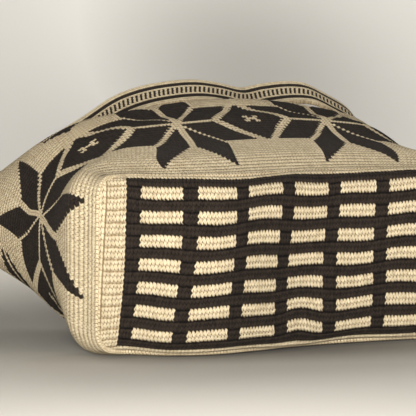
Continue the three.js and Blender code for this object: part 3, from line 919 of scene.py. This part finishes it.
def sewing(name, node, at_left):
    """One row of hand stitches round the three sewn sides of a strap end."""
    half_width = STRAP_WIDTH / 2 - SEAM_INSET
    deep = STRAP_TAB - SEAM_INSET
    cut = half_width / 2
    left_side = [(-half_width, SEAM_START), (-half_width, deep - cut), (-half_width + cut, deep)]
    right_side = [(-across, into) for across, into in reversed(left_side)]
    corners = np.array(left_side + right_side)
    lengths = running_length(corners)
    seam = cloth_sheet(name, SEAM_STITCHES * SEAM_STEPS, SEAM_SIDES, SEAM_STITCHES, SEAM_SIDES)
    spots = places(seam)
    stitch = spots[:, 0]

    def centre(stitch):
        way = stitch / SEAM_STITCHES * lengths[-1]
        across = np.interp(way, lengths, corners[:, 0])
        into = np.interp(way, lengths, corners[:, 1])
        arch = np.sqrt(np.abs(np.sin(np.pi * stitch)))
        height = -STRAP_THICKNESS / 2 + YARN_DIP - (YARN_RADIUS + YARN_DIP) * arch
        run = -into if at_left else free_length + into
        return strap_place(run, across, height)

    ahead = unit(centre(stitch + SEAM_TANGENT) - centre(stitch - SEAM_TANGENT))
    sideways = unit(np.cross(ahead, np.array(SEAM_UP)))
    upward = np.cross(sideways, ahead)
    angle = 2 * np.pi * spots[:, 1] / SEAM_SIDES
    thread = YARN_RADIUS * (YARN_WAIST + (1 - YARN_WAIST) * np.abs(np.sin(np.pi * stitch)))
    points = centre(stitch) + sideways * (thread * np.cos(angle))[:, None]
    points += upward * (thread * np.sin(angle))[:, None]
    set_places(seam, points)
    weld(seam)
    close_ends(seam)
    seam.data.materials.append(plain_yarn)
    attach(seam, "root")
    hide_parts(node)


sewing("sewing_left", "sewing_yarn_left", True)
sewing("sewing_right", "sewing_yarn_right", False)

# Studio.
# A pale paper sweep that runs flat under the bag and bends up behind it, painted a little darker on
# its floor part as painted shade, with painted shadows behind and under the bag, and seen through from the
# back.
# The floor part of the paper is painted a little darker and warmer than the wall, as painted shade.
FLOOR_COLOUR_WITH_SHADE = (0.74, 0.695, 0.612, 1.0)
WALL_COLOUR = (0.79, 0.764, 0.706, 1.0)
# Painted shadows on the paper: behind the bag and at its left on the wall, under its left side and along its
# front on the floor.
PAINTED_SHADOW_COLOUR = (0.22, 0.205, 0.176, 1.0)
PAINTED_SHADOWS = [((0.42, 1.42, 0.2), (0.23, 0.8, 0.17), 0.63), ((0.06, 1.42, 0.15), (0.22, 0.8, 0.4), 0.44),
          ((-0.14, 0.2, 0.0), (0.26, 0.30, 0.3), 1.0), ((0.0, -0.045, 0.0), (0.24, 0.075, 0.3), 1.0)]
FLOOR_SHADE_FADE = (0.2, 1.3)
SWEEP_HALF_WIDTH = 4.0
SWEEP_FRONT = -1.8
SWEEP_RUN = 6.0
SWEEP_STEPS = 48
FLAT_SHARE = 0.45
BEND_SHARE = 0.2
BEND_RADIUS = 0.76
work = bmesh.new()
bmesh.ops.create_grid(work, x_segments=2, y_segments=SWEEP_STEPS, size=1)
for vertex in work.verts:
    run_back = (vertex.co.y + 1) / 2
    bend = np.clip((run_back - FLAT_SHARE) / BEND_SHARE, 0, 1) * math.pi / 2
    flat_end = min(run_back, FLAT_SHARE) * SWEEP_RUN + SWEEP_FRONT
    wall_up = max(run_back - FLAT_SHARE - BEND_SHARE, 0) * SWEEP_RUN
    vertex.co = Vector((vertex.co.x * SWEEP_HALF_WIDTH, flat_end + BEND_RADIUS * math.sin(bend),
                        BEND_RADIUS * (1 - math.cos(bend)) + wall_up))
for face in work.faces:
    face.smooth = True
sweep_mesh = bpy.data.meshes.new("paper_sweep")
work.to_mesh(sweep_mesh)
work.free()
sweep = bpy.data.objects.new("paper_sweep", sweep_mesh)
bpy.context.collection.objects.link(sweep)
paper = bpy.data.materials.new("studio paper")
paper.use_nodes = True
paper_tree = paper.node_tree
paper_shader = paper_tree.nodes["Principled BSDF"]
paper_shader.inputs["Roughness"].default_value = 0.9
paper_place = paper_tree.nodes.new("ShaderNodeTexCoord")
paper_split = paper_tree.nodes.new("ShaderNodeSeparateXYZ")
paper_tree.links.new(paper_place.outputs["Object"], paper_split.inputs[0])


def painted_shadow_spot(middle, reach, strength):
    """Soft spot of painted shadow round a place on the paper."""
    total = 0.0
    for axis in range(3):
        offset = calc(paper_tree, "SUBTRACT", paper_split.outputs[axis], middle[axis])
        share = calc(paper_tree, "DIVIDE", offset, reach[axis])
        total = calc(paper_tree, "MULTIPLY_ADD", share, share, total)
    fall_off = calc(paper_tree, "POWER", math.e, calc(paper_tree, "MULTIPLY", total, -1.0))
    return calc(paper_tree, "MULTIPLY", fall_off, strength)


# Painted shade fading out from the floor to the wall, by distance back.
rise = paper_tree.nodes.new("ShaderNodeMapRange")
rise.interpolation_type = "SMOOTHSTEP"
rise.inputs["From Min"].default_value = FLOOR_SHADE_FADE[0]
rise.inputs["From Max"].default_value = FLOOR_SHADE_FADE[1]
paper_tree.links.new(paper_split.outputs[1], rise.inputs["Value"])
paper_colour_and_shadow = mix_colours(paper_tree, rise.outputs[0], FLOOR_COLOUR_WITH_SHADE, WALL_COLOUR)
# The painted shadows darken the paper colour.
painted_shadow = 0.0
for spot in PAINTED_SHADOWS:
    painted_shadow = calc(paper_tree, "MAXIMUM", painted_shadow, painted_shadow_spot(*spot))
paper_colour_and_shadow = mix_colours(paper_tree, painted_shadow, paper_colour_and_shadow, PAINTED_SHADOW_COLOUR)
paper_tree.links.new(paper_colour_and_shadow, paper_shader.inputs["Base Color"])
behind = paper_tree.nodes.new("ShaderNodeNewGeometry")
clear = paper_tree.nodes.new("ShaderNodeBsdfTransparent")
one_sided = paper_tree.nodes.new("ShaderNodeMixShader")
paper_tree.links.new(behind.outputs["Backfacing"], one_sided.inputs[0])
paper_tree.links.new(paper_shader.outputs[0], one_sided.inputs[1])
paper_tree.links.new(clear.outputs[0], one_sided.inputs[2])
paper_tree.links.new(one_sided.outputs[0], paper_tree.nodes["Material Output"].inputs[0])
sweep_mesh.materials.append(paper)

# Light.
# One broad soft light from the front left, low enough to graze the stitches, a weak fill from
# behind, a soft pool of light on the floor in front and an even sky.
KEY_PLACE = (-1.05, -3.05, 0.34)
KEY_AIM = (0, 0, 0.08)
KEY_SIZE = 1.1
KEY_POWER = 250.0
FILL_PLACE = (0.4, 0.95, 0.95)
FILL_AIM = (0, 0.2, 0.05)
FILL_SIZE = 0.8
FILL_POWER = 4.0
POOL_PLACE = (-0.25, -0.75, 0.9)
POOL_POWER = 25.0
POOL_ANGLE = math.radians(74)
SKY_COLOUR = (1.0, 0.985, 0.955, 1.0)
SKY_STRENGTH = 0.19


def soft_light(name, size, power, place, aim):
    """Round soft lamp that looks at a place."""
    lamp = bpy.data.lights.new(name, "AREA")
    lamp.shape = "DISK"
    lamp.size = size
    lamp.energy = power
    holder = bpy.data.objects.new(name, lamp)
    holder.location = place
    holder.rotation_euler = (Vector(aim) - Vector(place)).to_track_quat("-Z", "Y").to_euler()
    bpy.context.collection.objects.link(holder)


soft_light("front_softbox", KEY_SIZE, KEY_POWER, KEY_PLACE, KEY_AIM)
soft_light("back_fill", FILL_SIZE, FILL_POWER, FILL_PLACE, FILL_AIM)
pool_lamp = bpy.data.lights.new("floor_spot", "SPOT")
pool_lamp.energy = POOL_POWER
pool_lamp.spot_size = POOL_ANGLE
pool_lamp.spot_blend = 0.9
pool_lamp.shadow_soft_size = 0.1
pool_holder = bpy.data.objects.new("floor_spot", pool_lamp)
pool_holder.location = POOL_PLACE
bpy.context.collection.objects.link(pool_holder)
sky = bpy.data.worlds.new("studio sky")
sky.use_nodes = True
sky_light = sky.node_tree.nodes["Background"]
sky_light.inputs["Color"].default_value = SKY_COLOUR
sky_light.inputs["Strength"].default_value = SKY_STRENGTH
bpy.context.scene.world = sky

# Camera.
# It looks at the base from low down and a little to the left, with a long lens.
CAMERA_AIM = Vector((-0.0697, -0.0896, 0.1148))
CAMERA_AZIMUTH = math.radians(-16.6)
CAMERA_ELEVATION = math.radians(4.04)
CAMERA_DISTANCE = 2.043
CAMERA_LENS = 233.9
CAMERA_SENSOR = 36.0
camera = bpy.data.objects.new("camera", bpy.data.cameras.new("camera"))
camera.data.lens = CAMERA_LENS
camera.data.sensor_width = CAMERA_SENSOR
back = Vector((math.sin(CAMERA_AZIMUTH) * math.cos(CAMERA_ELEVATION),
               -math.cos(CAMERA_AZIMUTH) * math.cos(CAMERA_ELEVATION), math.sin(CAMERA_ELEVATION)))
camera.location = CAMERA_AIM + back * CAMERA_DISTANCE
camera.rotation_euler = back.to_track_quat("Z", "Y").to_euler()
bpy.context.collection.objects.link(camera)
bpy.context.scene.camera = camera
bpy.context.scene.view_settings.view_transform = "Standard"
